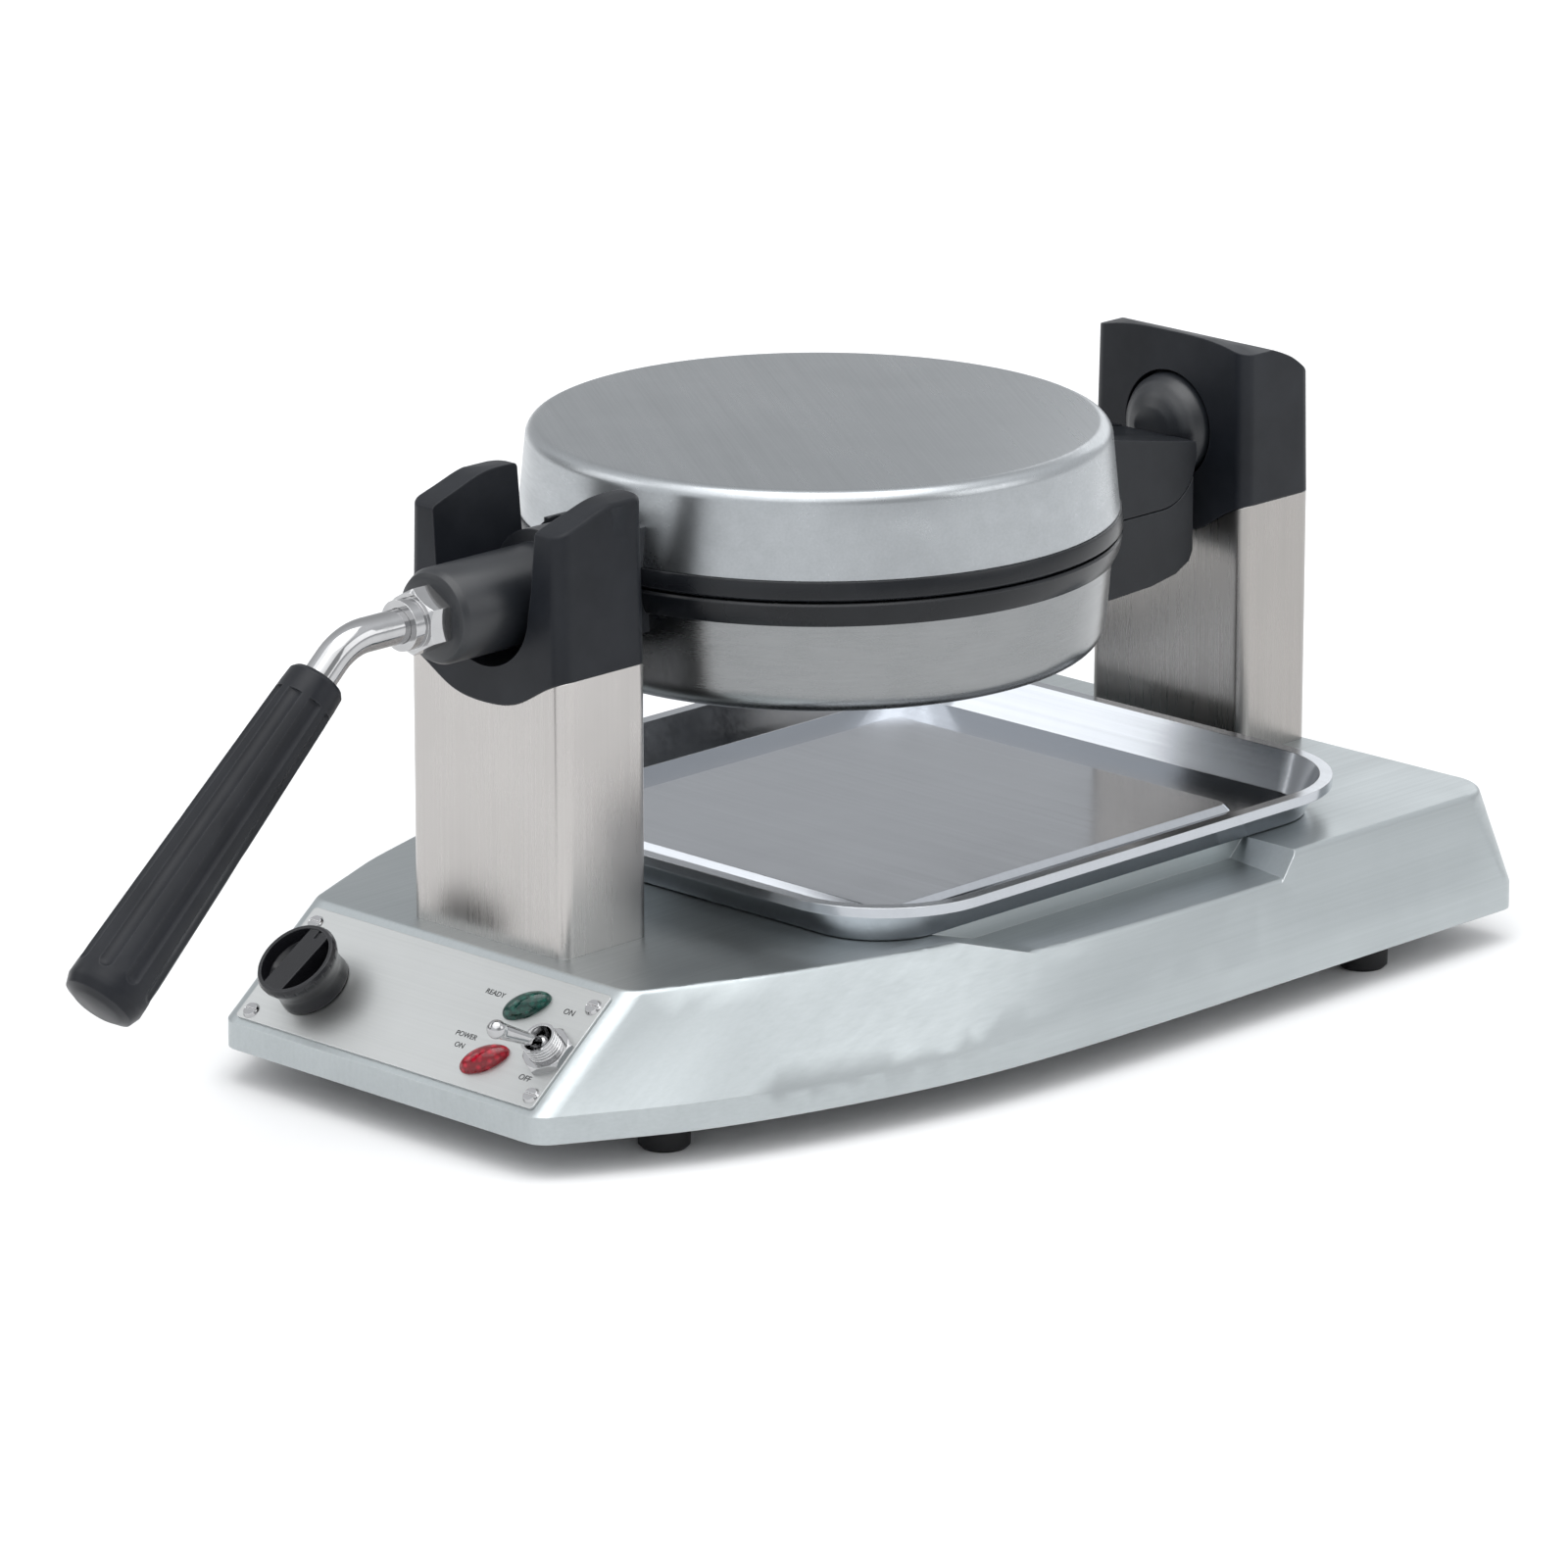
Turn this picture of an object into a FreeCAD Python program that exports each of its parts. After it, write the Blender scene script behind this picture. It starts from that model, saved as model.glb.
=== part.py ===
import FreeCAD, Part
import math
import os

# Rotary waffle maker, millimetres, +Z up, table at z = 0.
# -Y is the end with the control panel and the handle, +Y is the hinge end.
# All Y values below are measured from the centre of the round drum; FRAME_Y
# moves the finished pieces so that the origin is the centre of the footprint.

V = FreeCAD.Vector

# driving dimensions
FRAME_Y = 55.9
AXIS_Z = 164.6
SEAM_Z = 162.0
FOOT_H = 12.0
LIP_Z = 21.0
TOP_Z = 53.5
SHEET = 1.0
BASE_FRONT_Y = -201.5
BASE_SLOPE_Y = -161.0
BASE_REAR_Y = 209.5
BASE_REAR_TOP_Y = 206.8
BASE_HALF_W = 128.5
BASE_TOP_HALF_W = 121.5
POST_HALF_W = 35.3
POST_R = 4.5
FRONT_POST = (-153.1, 38.7)
REAR_POST = (171.6, 34.8)
CAP_PROUD = 0.4
RING_R = 100.0
LID_H = 35.5
LOWER_H = 39.3
SEAM = 0.4
HUB_R = 15.7
JOURNAL_R = 19.9
SEAT_R = 20.0
SLOT_R = 20.2
TRUNNION_R = 11.0
PIN_Y = 145.0
PIN_Z = AXIS_Z - 4.0
PIN_R = 3.0
WEB_HALF = 11.5
CHEEK_IN = 12.0
ARM_HALF = 22.0
TRAY_HALF_W = 112.0
TRAY_FRONT_Y = -85.0
TRAY_REAR_Y = 157.0
TRAY_TOP_Z = 67.3
TRAY_CORNER = 42.0
GRIP_ANGLE = 42.0
PANEL_TILT = math.degrees(math.atan2(TOP_Z - LIP_Z, BASE_SLOPE_Y - BASE_FRONT_Y))

# side outlines of the base, front to rear, as (x, y)
SIDE_LOW = [(75.5, -196.0), (86.5, -176.0), (95.8, -158.0), (105.0, -134.0), (113.0, -107.0)]
SIDE_LOW += [(119.8, -78.0), (124.3, -50.0), (127.0, -15.0), (128.3, 30.0), (128.5, 80.0)]
SIDE_TOP = [(75.0, -156.0), (80.6, -143.0), (85.6, -131.0), (90.8, -118.6), (95.4, -105.0)]
SIDE_TOP += [(101.6, -85.0), (108.6, -58.0), (115.2, -22.0), (119.8, 30.0), (121.5, 80.0)]

parts = {}


def box(x0, y0, z0, x1, y1, z1):
    return Part.makeBox(x1 - x0, y1 - y0, z1 - z0, V(x0, y0, z0))


def cyl(r, p, d, h):
    return Part.makeCylinder(r, h, V(*p), V(*d))


def fuse(first, *rest):
    out = first.fuse(list(rest))
    return out.removeSplitter()


def rounded_rect(x0, y0, x1, y1, r, z):
    k = r * (1 - math.sqrt(0.5))
    spans = [
        ((x0 + r, y0), (x1 - r, y0), (x1 - k, y0 + k)),
        ((x1, y0 + r), (x1, y1 - r), (x1 - k, y1 - k)),
        ((x1 - r, y1), (x0 + r, y1), (x0 + k, y1 - k)),
        ((x0, y1 - r), (x0, y0 + r), (x0 + k, y0 + k)),
    ]
    edges = []
    for i, (a, b, m) in enumerate(spans):
        c = spans[(i + 1) % 4][0]
        edges.append(Part.makeLine(V(*a, z), V(*b, z)))
        edges.append(Part.Arc(V(*b, z), V(*m, z), V(*c, z)).toShape())
    return Part.Wire(edges)


def rect_prism(x0, y0, x1, y1, r, z0, z1):
    face = Part.Face(rounded_rect(x0, y0, x1, y1, r, z0))
    return face.extrude(V(0, 0, z1 - z0))


def revolve(points, centre=(0, 0, 0)):
    wire = Part.makePolygon([V(r, 0, z) for r, z in points + points[:1]])
    solid = Part.Face(wire).revolve(V(0, 0, 0), V(0, 0, 1), 360)
    solid.translate(V(*centre))
    return solid


def profile_x(points, x0, x1):
    wire = Part.makePolygon([V(x0, y, z) for y, z in points + points[:1]])
    return Part.Face(wire).extrude(V(x1 - x0, 0, 0))


def profile_y(points, y0, y1):
    wire = Part.makePolygon([V(x, y0, z) for x, z in points + points[:1]])
    return Part.Face(wire).extrude(V(0, y1 - y0, 0))


def outline_face(runs, place):
    # closed outline of straight runs (two points) and smooth runs (more points)
    edges = []
    for run in runs:
        points = [place(a, b) for a, b in run]
        if len(points) == 2:
            edges.append(Part.makeLine(points[0], points[1]))
        else:
            curve = Part.BSplineCurve()
            curve.interpolate(points)
            edges.append(curve.toShape())
    return Part.Face(Part.Wire(edges))


def smooth_y(runs, y0, y1):
    return outline_face(runs, lambda x, z: V(x, y0, z)).extrude(V(0, y1 - y0, 0))


def smooth_x(runs, x0, x1):
    return outline_face(runs, lambda y, z: V(x0, y, z)).extrude(V(x1 - x0, 0, 0))


def safe_fillet(shape, radius, edges):
    try:
        out = shape.makeFillet(radius, edges)
        if out.isValid() and out.Volume > 0:
            return out
    except Exception:
        pass
    print("fillet skipped", radius)
    return shape


# control panel frame: local X is X, local Y is up the slope, local Z is out of it
PANEL = FreeCAD.Placement(V(0, BASE_SLOPE_Y, TOP_Z), FreeCAD.Rotation(V(1, 0, 0), PANEL_TILT))


def on_panel(shape, x=0.0, down=0.0, out=0.0):
    moved = shape.copy()
    shift = FreeCAD.Placement(V(x, -down, out), FreeCAD.Rotation())
    moved.Placement = PANEL.multiply(shift).multiply(moved.Placement)
    return moved.copy()


# ---------------------------------------------------------------- base shell
def shifted(points, d):
    out = []
    for i, (x, y) in enumerate(points):
        x0, y0 = points[max(i - 1, 0)]
        x1, y1 = points[min(i + 1, len(points) - 1)]
        n = math.hypot(x1 - x0, y1 - y0)
        out.append((x - d * (y1 - y0) / n, y + d * (x1 - x0) / n))
    return out


def outline(side, front_y, rear_y, z, r, d=0.0):
    side = shifted(side, d)
    sx, sy = side[0]
    ex = side[-1][0]
    fy = front_y + d
    ry = rear_y - d
    cx = sx - 8.0
    r = r - d
    right = []
    points = [V(x, y, z) for x, y in side]
    curve = Part.BSplineCurve()
    tangent = V(side[1][0] - side[0][0], side[1][1] - side[0][1], 0)
    curve.interpolate(Points=points, InitialTangent=tangent, FinalTangent=V(0, 50, 0))
    nose = Part.BezierCurve()
    lead = tangent * (2.6 / tangent.Length)
    nose.setPoles([V(cx, fy, z), V(cx + 4.2, fy, z), points[0] - lead, points[0]])
    right.append(nose.toShape())
    right.append(curve.toShape())
    right.append(Part.makeLine(points[-1], V(ex, ry - r, z)))
    k = r * (1 - math.sqrt(0.5))
    right.append(Part.Arc(V(ex, ry - r, z), V(ex - k, ry - k, z), V(ex - r, ry, z)).toShape())
    left = [e.mirror(V(0, 0, 0), V(1, 0, 0)) for e in right]
    front = Part.makeLine(V(-cx, fy, z), V(cx, fy, z))
    back = Part.makeLine(V(ex - r, ry, z), V(r - ex, ry, z))
    return Part.Wire([front] + right + [back] + left[::-1])


def body(d, low_z, top_z):
    low = outline(SIDE_LOW, BASE_FRONT_Y, BASE_REAR_Y, LIP_Z, 8.0, d)
    top = outline(SIDE_TOP, BASE_SLOPE_Y, BASE_REAR_TOP_Y, top_z, 18.0, d)
    skirt = Part.Face(outline(SIDE_LOW, BASE_FRONT_Y, BASE_REAR_Y, low_z, 8.0, d))
    skirt = skirt.extrude(V(0, 0, LIP_Z - low_z))
    return skirt.fuse(Part.makeLoft([low, top], True, True)).removeSplitter()


def relief(d):
    # finger relief under each long rim of the tray
    points = [(98.0 - d, 70.0), (98.0 - d, 47.2 - d), (140.0, 44.6 - d), (140.0, 70.0)]
    ends = [(-52.0 - d, 70.0), (-52.0 - d, TOP_Z + 0.2 - d), (-12.0 - d, 42.0), (90.0 + d, 42.0)]
    ends += [(102.0 + d, TOP_Z + 0.2 - d), (102.0 + d, 70.0)]
    cut = profile_y(points, -60.0, 110.0).common(profile_x(ends, 90.0, 150.0))
    return cut.fuse(cut.mirror(V(0, 0, 0), V(1, 0, 0)))


outer = body(0.0, FOOT_H, TOP_Z)
rim = [e for e in outer.Edges if abs(e.BoundBox.ZMin - TOP_Z) < 0.01 and abs(e.BoundBox.ZMax - TOP_Z) < 0.01]
outer = safe_fillet(outer, 2.4, rim)
outer = outer.cut(relief(0.0))
steps = []
for e in outer.Edges:
    b = e.BoundBox
    if b.XMin * b.XMax > 0 and min(abs(b.XMin), abs(b.XMax)) > 110 and b.ZMin > 42 and b.YLength > 60:
        if b.ZMax < 50:
            steps.append(e)
outer = safe_fillet(outer, 2.0, steps)
inner = body(SHEET, FOOT_H - 1, TOP_Z - SHEET).cut(relief(SHEET))
shell = outer.cut(inner)

PANEL_TOP = 3.6
PANEL_LOW = 49.6
PANEL_HALF = 68.5
KNOB = (-46.5, 30.5)
TOGGLE = (60.5, 29.2)
GREEN = (40.0, 15.8)
RED = (38.6, 38.2)
SCREWS = [(-63.5, 46.2), (65.0, 45.2), (64.6, 9.4), (-63.5, 9.4)]
plate = rect_prism(-PANEL_HALF, -PANEL_LOW, PANEL_HALF, -PANEL_TOP, 1.5, 0, 0.9)
holes = [(KNOB, 5.2), (TOGGLE, 6.1), (GREEN, 4.6), (RED, 4.6)]
holes += [(s, 1.8) for s in SCREWS]
for (hx, hs), hr in holes:
    tool = Part.makeCylinder(hr, 8, V(hx, -hs, -4))
    plate = plate.cut(tool)
    shell = shell.cut(on_panel(tool))
parts["control_panel"] = on_panel(plate)

# openings of the posts' feet and of the inlet in the rear wall
for y0, depth in (FRONT_POST, REAR_POST):
    shell = shell.cut(box(-20, y0 + 7, 40, 20, y0 + depth - 7, 70))
shell = shell.cut(cyl(6.5, (70, 195, 33), (0, 1, 0), 30))
# louvres low in the rear wall
for i in range(7):
    shell = shell.cut(box(-41 + 12 * i, 200, 24, -35 + 12 * i, 214, 40))
parts["base_shell"] = shell

pan = Part.Face(outline(SIDE_LOW, BASE_FRONT_Y, BASE_REAR_Y, FOOT_H, 8.0, SHEET + 0.1)).extrude(V(0, 0, 1.2))
FEET = {"left": -1, "right": 1}
FOOT_AT = {"front": (75.0, -148.0), "rear": (110.0, 150.0)}
for end, (fx, fy) in FOOT_AT.items():
    for hand, sign in FEET.items():
        foot = revolve([(0, 0), (7.2, 0), (8.4, 1.2), (8.6, 9.5), (7.4, FOOT_H), (0, FOOT_H)], (sign * fx, fy, 0))
        foot = foot.fuse(cyl(2.9, (sign * fx, fy, 11.0), (0, 0, 1), 5.5)).removeSplitter()
        foot = foot.cut(cyl(2.6, (sign * fx, fy, -1), (0, 0, 1), 4))
        parts["foot_%s_%s" % (end, hand)] = foot
        pan = pan.cut(cyl(3.0, (sign * fx, fy, 10), (0, 0, 1), 8))
for i in range(9):
    for y0 in (-60, 40):
        pan = pan.cut(box(-50 + 12 * i, y0, 10, -46 + 12 * i, y0 + 34, 20))
parts["base_pan"] = pan

# ---------------------------------------------------------------- panel pieces
for i, (sx, ss) in enumerate(SCREWS):
    head = Part.makeCone(3.0, 2.4, 1.1, V(0, 0, 0.9))
    screw = head.fuse(Part.makeCylinder(1.5, 6.9, V(0, 0, -6.0)))
    screw = screw.cut(Part.makeBox(5.2, 0.8, 0.6, V(-2.6, -0.4, 1.5))).removeSplitter()
    parts["panel_screw_%d" % (i + 1)] = on_panel(screw, sx, ss)


def lens(scale):
    # oval jewel lens, long axis raised to the upper right
    dome = Part.makeSphere(1.0)
    m = FreeCAD.Matrix()
    m.scale(9.4 * scale, 4.7 * scale, 4.6)
    dome = dome.transformGeometry(m)
    dome = dome.common(Part.makeBox(40, 40, 20, V(-20, -20, 0.0)))
    dome.rotate(V(0, 0, 0), V(0, 0, 1), 40)
    dome.translate(V(0, 0, 0.9))
    stem = Part.makeCylinder(4.4, 9.0, V(0, 0, -8.0))
    return dome.fuse(stem).removeSplitter()


parts["lamp_green"] = on_panel(lens(0.92), *GREEN)
parts["lamp_red"] = on_panel(lens(0.94), *RED)
socket = Part.makeCylinder(6.4, 7.5, V(0, 0, -15.5)).cut(Part.makeCylinder(3.2, 5.0, V(0, 0, -16.5)))
parts["lamp_socket_green"] = on_panel(socket, *GREEN)
parts["lamp_socket_red"] = on_panel(socket, *RED)


def hexagon(af, h, z, r_hole):
    pts = []
    for i in range(7):
        a = math.radians(60 * i + 30)
        pts.append(V(af / math.sqrt(3) * math.cos(a), af / math.sqrt(3) * math.sin(a), z))
    solid = Part.Face(Part.makePolygon(pts)).extrude(V(0, 0, h))
    cone = Part.makeCone(af * 0.5 + h + 0.2, af * 0.5 + 0.2, h, V(0, 0, z))
    return solid.common(cone).cut(Part.makeCylinder(r_hole, h + 2, V(0, 0, z - 1)))


# toggle switch: body behind the panel, bushing, nut and lever
TOGGLE_PIVOT = 6.0
TOGGLE_TILT = 26.0
bushing = Part.makeCylinder(5.9, 15.0, V(0, 0, -6.0))
bushing = bushing.cut(Part.makeCone(3.0, 5.0, 9.0, V(0, 0, 0.5)))
bushing = bushing.cut(Part.makeSphere(3.4, V(0, 0, TOGGLE_PIVOT)))
for i in range(4):
    groove = Part.makeTorus(5.95, 0.32, V(0, 0, 4.6 + 1.15 * i))
    bushing = bushing.cut(groove)
parts["toggle_bushing"] = on_panel(bushing, *TOGGLE)
parts["toggle_nut"] = on_panel(hexagon(15.5, 2.6, 0.9, 5.95), *TOGGLE)
parts["toggle_body"] = on_panel(Part.makeBox(13, 26, 10.8, V(-6.5, -13, -17.0)), *TOGGLE)
lever = Part.makeSphere(2.7, V(0, 0, 0))
lever = lever.fuse(Part.makeCone(1.8, 2.7, 21.0, V(0, 0, 0.5)))
lever = lever.fuse(Part.makeSphere(3.1, V(0, 0, 21.8))).removeSplitter()
lever.rotate(V(0, 0, 0), V(1, 0, 0), TOGGLE_TILT)
parts["toggle_lever"] = on_panel(lever, TOGGLE[0], TOGGLE[1], TOGGLE_PIVOT)

# thermostat knob, its shaft and the body behind the panel
knob = revolve([(0, 1.4), (12.4, 1.4), (12.0, 5.6), (12.7, 8.6), (14.1, 11.9), (14.3, 13.3), (13.5, 14.6), (0, 14.6)])
dish = revolve([(0, 5.4), (7.6, 6.2), (11.6, 10.2), (12.5, 15.4), (0, 15.4)])
keep = Part.makeCylinder(22.0, 9.0, V(14.0, 0, 5.0)).common(Part.makeCylinder(22.0, 9.0, V(-14.0, 0, 5.0)))
knob = knob.cut(dish.cut(keep.common(Part.makeBox(9.0, 40, 9.0, V(-4.5, -20, 5.0)))))
knob = knob.cut(Part.makeCylinder(3.05, 6.5, V(0, 0, 0)))
knob = knob.cut(Part.makeBox(1.2, 3.6, 0.8, V(-0.6, 9.2, 13.3)))
for i in range(24):
    a = math.radians(15 * i)
    knob = knob.cut(Part.makeCylinder(0.6, 8.0, V(14.6 * math.cos(a), 14.6 * math.sin(a), 8.0)))
knob.rotate(V(0, 0, 0), V(0, 0, 1), -8)
parts["knob"] = on_panel(knob, *KNOB)
parts["knob_shaft"] = on_panel(Part.makeCylinder(3.0, 12.8, V(0, 0, -6.5)), *KNOB)
stat = Part.makeCylinder(12.5, 9.0, V(0, 0, -16.0)).fuse(Part.makeCylinder(4.9, 6.6, V(0, 0, -7.2)))
stat = stat.cut(Part.makeCylinder(3.1, 13.6, V(0, 0, -14.0))).removeSplitter()
parts["thermostat_body"] = on_panel(stat, *KNOB)

block = box(-30, -60, 14, 30, -36, 30)
for i in range(5):
    block = block.cut(cyl(2.2, (-22 + 11 * i, -48, 20), (0, 0, 1), 12))
    block = block.cut(box(-24.5 + 11 * i, -62, 22, -19.5 + 11 * i, -34, 24.5))
parts["terminal_block"] = block
gland = cyl(9.0, (70, 209.6, 33), (0, 1, 0), 5.0).fuse(cyl(6.4, (70, 196, 33), (0, 1, 0), 14.0))
gland = gland.fuse(cyl(9.0, (70, 202.9, 33), (0, 1, 0), 3.4)).cut(cyl(3.6, (70, 190, 33), (0, 1, 0), 30))
parts["cord_inlet"] = gland.removeSplitter()


# ---------------------------------------------------------------- posts
def above_edge(y0, y1, side_z, tongue_z, down):
    # everything above the wavy joint line: level at the sides, a tongue in the middle
    side = side_z - down
    low = tongue_z - down
    half = [(40.0, side + 0.3), (35.0, side - 0.9), (27.0, side - 4.4), (15.0, low + 2.2)]
    wave = [(-x, z) for x, z in half] + [(0.0, low)] + half[::-1]
    top = AXIS_Z + 60.0
    sides = [[wave[-1], (40.0, top)], [(40.0, top), (-40.0, top)], [(-40.0, top), wave[0]]]
    return smooth_y([wave] + sides, y0 - 6.0, y1 + 6.0)


def sleeve(post, side_z, tongue_z):
    y0 = post[0]
    y1 = y0 + post[1]
    w = POST_HALF_W
    tube = rect_prism(-w, y0, w, y1, POST_R, TOP_Z, AXIS_Z - 13.0)
    core = rect_prism(-w + 1.2, y0 + 1.2, w - 1.2, y1 - 1.2, POST_R - 1.2, TOP_Z - 1, AXIS_Z)
    return tube.cut(core).cut(above_edge(y0, y1, side_z, tongue_z, 0.15))


def strut(post):
    # folded steel upright inside the sleeve, tied to the base
    y0 = post[0]
    y1 = y0 + post[1]
    up = box(-17, y0 + 9, TOP_Z - 9, 17, y1 - 9, AXIS_Z - 38)
    up = up.cut(box(-14.5, y0 + 5, TOP_Z - 20, 14.5, y1 - 11, AXIS_Z))
    flange = box(-28, y0 - 2, TOP_Z - 3.5, 28, y1 - 1, TOP_Z - 1.2)
    return up.fuse(flange).removeSplitter()


FRONT_EDGE = (145.6, 132.5)
REAR_EDGE = (142.6, 128.8)
parts["front_sleeve"] = sleeve(FRONT_POST, *FRONT_EDGE)
parts["rear_sleeve"] = sleeve(REAR_POST, *REAR_EDGE)
parts["front_strut"] = strut(FRONT_POST)
parts["rear_strut"] = strut(REAR_POST)


def cap_blank(post, edge, arch, crest, soft):
    # moulded hollow cap: sides draw in upwards, arched across, crest falls away from the drum
    y0 = post[0]
    y1 = y0 + post[1]
    w = POST_HALF_W
    p = CAP_PROUD
    low = rounded_rect(-w - p, y0 - p, w + p, y1 + p, 5.0, AXIS_Z - 40)
    high = rounded_rect(-w + 1.1, y0 + p, w - 1.1, y1 - p, 5.0, AXIS_Z + 45)
    blank = Part.makeLoft([low, high], True, True)
    far = 44.0
    row = [(-far, arch[2] - 1.6), (-35.0, arch[2]), (-24.0, arch[1]), (0.0, arch[0])]
    row += [(24.0, arch[1]), (35.0, arch[2]), (far, arch[2] - 1.6)]
    floor = AXIS_Z - 60.0
    sides = [[row[-1], (far, floor)], [(far, floor), (-far, floor)], [(-far, floor), row[0]]]
    blank = blank.common(smooth_y([row] + sides, y0 - 5, y1 + 5))
    a = crest[0]
    b = crest[-1]
    sides = [[b, (b[0], floor)], [(b[0], floor), (a[0], floor)], [(a[0], floor), a]]
    blank = blank.common(smooth_x([crest] + sides, -far, far))
    rim = [e for e in blank.Edges if e.BoundBox.ZMin > AXIS_Z + 12]
    blank = safe_fillet(blank, soft, rim)
    blank = blank.common(above_edge(y0, y1, edge[0], edge[1], 0.0))
    blank = blank.fuse(rect_prism(-w + 1.25, y0 + 1.25, w - 1.25, y1 - 1.25, 3.2, AXIS_Z - 28, AXIS_Z - 10))
    hollow = rect_prism(-w + 4.4, y0 + 4.4, w - 4.4, y1 - 4.4, 2.0, AXIS_Z - 60, AXIS_Z - 12)
    return blank.cut(hollow.cut(cyl(27.0, (0, y0 - 9, AXIS_Z), (0, 1, 0), 60)))


FRONT_CREST = [(-159.0, 189.6), (-153.0, 191.8), (-149.4, 193.2), (-144.4, 194.8), (-140.3, 196.1)]
FRONT_CREST += [(-136.1, 197.5), (-131.9, 198.7), (-127.8, 199.4), (-122.0, 199.7), (-110.0, 199.6)]
cap = cap_blank(FRONT_POST, FRONT_EDGE, (200.6, 199.9, 198.9), FRONT_CREST, 1.6)
cap_front = FRONT_POST[0] - CAP_PROUD
cap_back = FRONT_POST[0] + FRONT_POST[1] + CAP_PROUD
SEAT_Y = cap_back - 15.5
cap = cap.cut(cyl(SLOT_R, (0, cap_front - 2, AXIS_Z), (0, 1, 0), 60))
mouth = [(-SLOT_R, AXIS_Z - 0.5), (SLOT_R, AXIS_Z - 0.5), (21.6, AXIS_Z + 8.0), (24.0, AXIS_Z + 36.0)]
mouth += [(24.2, AXIS_Z + 60.0), (-24.2, AXIS_Z + 60.0), (-24.0, AXIS_Z + 36.0), (-21.6, AXIS_Z + 8.0)]
cap = cap.cut(profile_y(mouth, cap_front - 2, cap_back + 2))
lower = box(-40, SEAT_Y - 10, AXIS_Z - 40, 40, SEAT_Y + 40, AXIS_Z)
cap = cap.cut(cyl(22.6, (0, SEAT_Y, AXIS_Z), (0, 1, 0), 12.5).common(lower))
parts["front_cap"] = cap.removeSplitter()
seat = cyl(22.5, (0, SEAT_Y + 0.1, AXIS_Z), (0, 1, 0), 12.3).common(lower)
parts["front_saddle"] = seat.cut(cyl(SEAT_R, (0, SEAT_Y - 5, AXIS_Z), (0, 1, 0), 40))

REAR_CREST = [(167.0, 198.2), (171.6, 197.8), (178.0, 196.6), (186.0, 194.2), (192.0, 191.9), (196.0, 190.0)]
REAR_CREST += [(200.0, 187.3), (203.5, 184.4), (209.0, 178.0)]
rcap = cap_blank(REAR_POST, REAR_EDGE, (197.7, 196.4, 194.0), REAR_CREST, 1.4)
rcap_front = REAR_POST[0] - CAP_PROUD
rcap = rcap.cut(cyl(19.3, (0, rcap_front - 1, AXIS_Z), (0, 1, 0), 7.0))
rcap = rcap.cut(cyl(14.4, (0, rcap_front - 1, AXIS_Z), (0, 1, 0), 15.0))
rcap = rcap.cut(cyl(16.0, (0, rcap_front + 13.9, AXIS_Z), (0, 1, 0), 18.6))
parts["rear_cap"] = rcap.removeSplitter()
BUSH_Y = rcap_front + 14.2
ring = cyl(15.95, (0, BUSH_Y, AXIS_Z), (0, 1, 0), 12.0)
parts["rear_bushing"] = ring.cut(cyl(TRUNNION_R + 0.05, (0, BUSH_Y - 1, AXIS_Z), (0, 1, 0), 20))


# ---------------------------------------------------------------- drum halves
def at_seam(points):
    return [(r, SEAM_Z + z) for r, z in points]


def arc_points(cr, cz, r, a0, a1, n):
    out = []
    for i in range(n + 1):
        a = math.radians(a0 + (a1 - a0) * i / n)
        out.append((cr + r * math.cos(a), cz + r * math.sin(a)))
    return out


def shell_of(points_outer, points_inner):
    return revolve(at_seam(points_outer + points_inner[::-1]))


top_out = [(98.9, 6.9), (98.6, 9.5)] + arc_points(91.7, LID_H - 4.8, 4.8, 4, 90, 8) + [(0, LID_H)]
top_in = [(97.9, 6.9), (97.6, 9.5)] + arc_points(91.7, LID_H - 4.8, 3.8, 4, 90, 8) + [(0, LID_H - 1.0)]
lid_shell = shell_of(top_out, top_in)
low_out = [(96.4, -8.4), (96.3, -12.0)] + arc_points(85.6, -LOWER_H + 9.2, 9.2, -4, -90, 10) + [(0, -LOWER_H)]
low_in = [(95.4, -8.4), (95.3, -12.0)] + arc_points(85.6, -LOWER_H + 9.2, 8.2, -4, -90, 10) + [(0, -LOWER_H + 1.0)]
lower_shell = shell_of(low_out, low_in)
parts["lid_shell"] = lid_shell
parts["lower_shell"] = lower_shell
up_ring = [(90.2, SEAM), (RING_R - 0.6, SEAM), (RING_R, SEAM + 0.7), (RING_R - 0.1, 6.0), (RING_R - 0.5, 6.8), (90.2, 6.8)]
low_ring = [(90.2, -SEAM), (RING_R - 0.6, -SEAM), (RING_R, -SEAM - 0.7), (RING_R - 0.9, -5.6), (RING_R - 2.2, -8.3), (90.2, -8.3)]
parts["upper_ring"] = revolve(at_seam(up_ring))
parts["lower_ring"] = revolve(at_seam(low_ring))


TERMINALS = (110.0, 70.0)


def plate(sign):
    # die-cast plate: shallow round pan with a rim, element groove on its back
    prof = [(0, 16.5), (90.0, 16.5), (90.0, SEAM), (86.5, SEAM), (84.5, 12.5), (0, 12.5)]
    solid = revolve([(r, sign * z) for r, z in prof])
    ridge = Part.makeTorus(60.0, 5.2, V(0, 0, sign * 17.0))
    keep = box(-95, -95, 16.0, 95, 95, 30) if sign > 0 else box(-95, -95, -30, 95, 95, -16.0)
    solid = solid.fuse(ridge.common(keep))
    solid = solid.cut(Part.makeTorus(60.0, 3.35, V(0, 0, sign * 21.0)))
    for a in TERMINALS:
        ca = math.cos(math.radians(a))
        sa = math.sin(math.radians(a))
        solid = solid.cut(cyl(2.5, (60 * ca, 60 * sa, sign * 21.0), (ca, sa, 0), 22.0))
    solid = solid.removeSplitter()
    solid.translate(V(0, 0, SEAM_Z))
    return solid


def square(x, y, half, z):
    corners = [(-half, -half), (half, -half), (half, half), (-half, half), (-half, -half)]
    return Part.makePolygon([V(x + a, y + b, z) for a, b in corners])


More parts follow.
